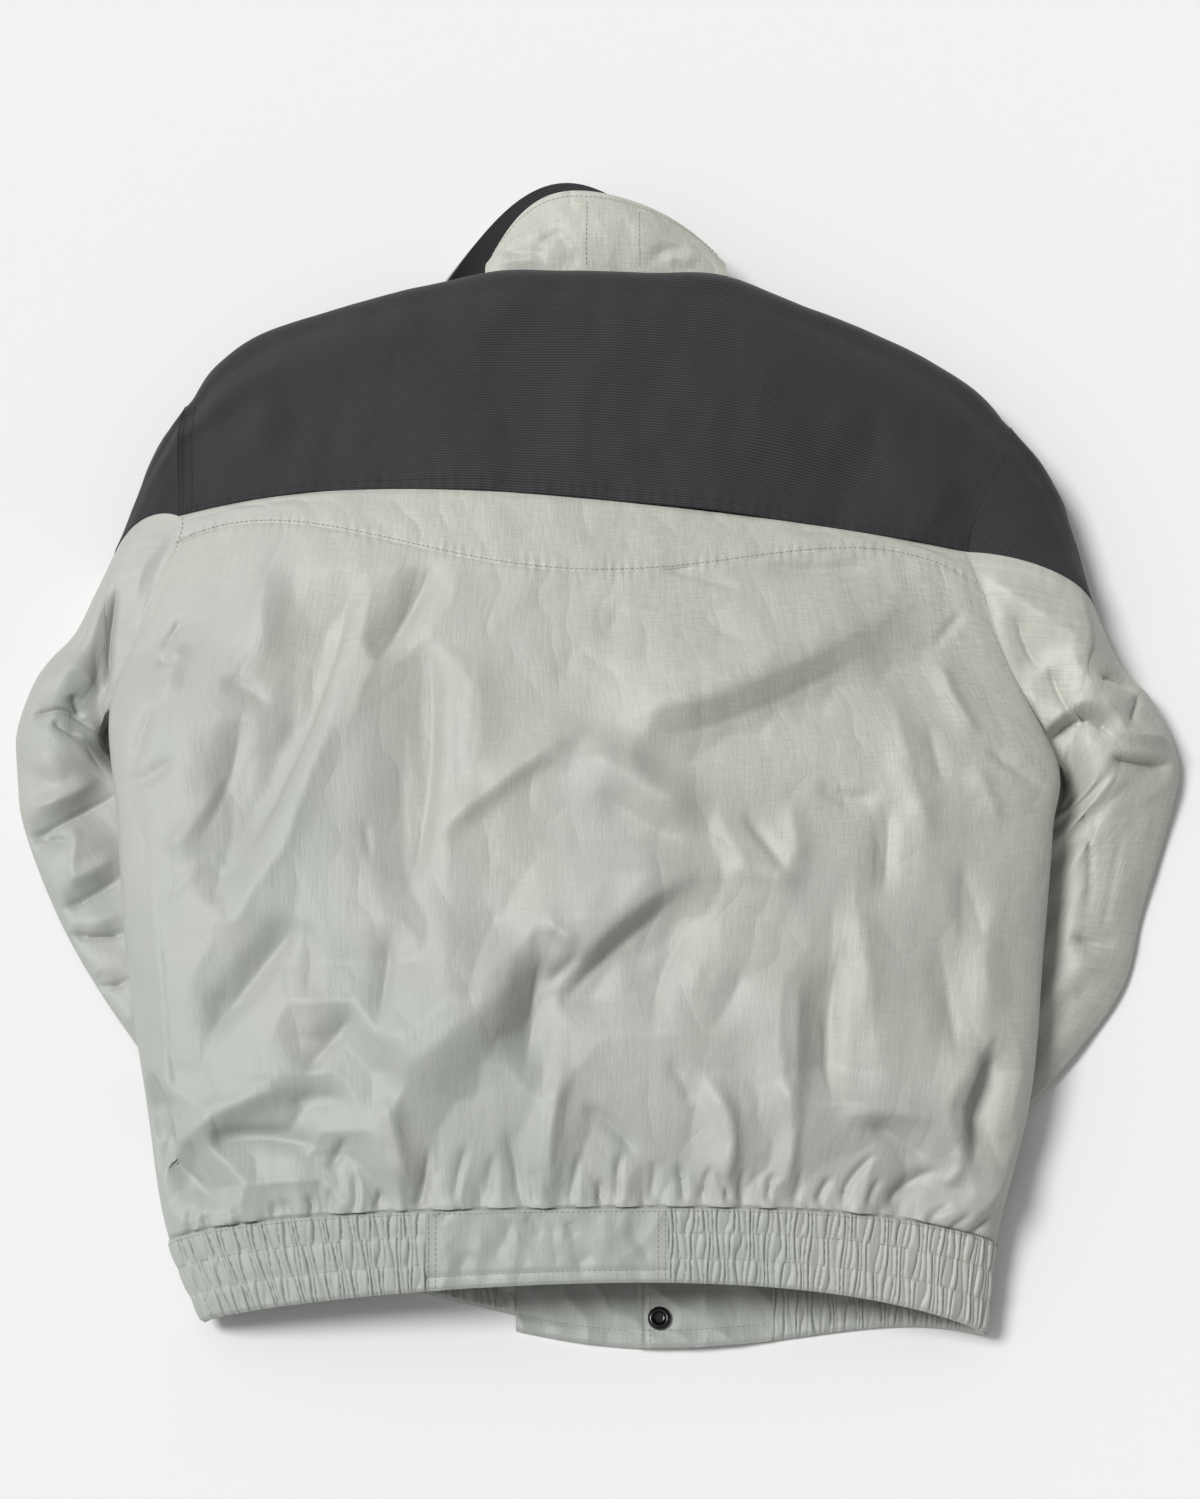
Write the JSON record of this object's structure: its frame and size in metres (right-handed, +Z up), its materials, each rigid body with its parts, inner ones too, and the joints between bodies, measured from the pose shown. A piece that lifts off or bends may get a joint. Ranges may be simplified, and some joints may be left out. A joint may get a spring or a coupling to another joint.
{
  "type": "parka",
  "caption": "Padded blouson parka lying face down, with a sage body, a charcoal shoulder yoke, a stand collar, bent sleeves and a shirred waistband with a ring snap.",
  "frame": {"origin": "on the floor, under the middle of the garment's bounding box", "axes": "+Z up from the floor, +Y from the hem to the collar, +X to the right as seen from above, which is the wearer's right"},
  "size_m": [0.7824, 0.8248, 0.1007],
  "materials": {
    "sage_nylon": "satin woven nylon",
    "charcoal_ribbed_nylon": "matt ribbed weave",
    "black_snap_plastic": "gloss"
  },
  "bodies": {
    "root": {"back_body": "sage_nylon", "back_band": "sage_nylon", "back_yoke": "charcoal_ribbed_nylon", "waistband_back_left": "sage_nylon", "waistband_back_centre": "sage_nylon", "waistband_back_right": "sage_nylon", "waistband_front_left": "sage_nylon", "waistband_front_right": "sage_nylon", "waistband_tab_left": "sage_nylon", "waistband_tab_right": "sage_nylon", "front_left": "sage_nylon", "front_right": "sage_nylon", "front_yoke_left": "charcoal_ribbed_nylon", "front_yoke_right": "charcoal_ribbed_nylon", "sleeve_left": "sage_nylon", "sleeve_right": "sage_nylon", "sleeve_cap_left": "charcoal_ribbed_nylon", "sleeve_cap_right": "charcoal_ribbed_nylon", "cuff_left": "sage_nylon", "cuff_right": "sage_nylon", "collar_back": "sage_nylon", "collar_lining": "charcoal_ribbed_nylon", "collar_front": "sage_nylon", "snap": "black_snap_plastic"}
  },
  "joints": []
}
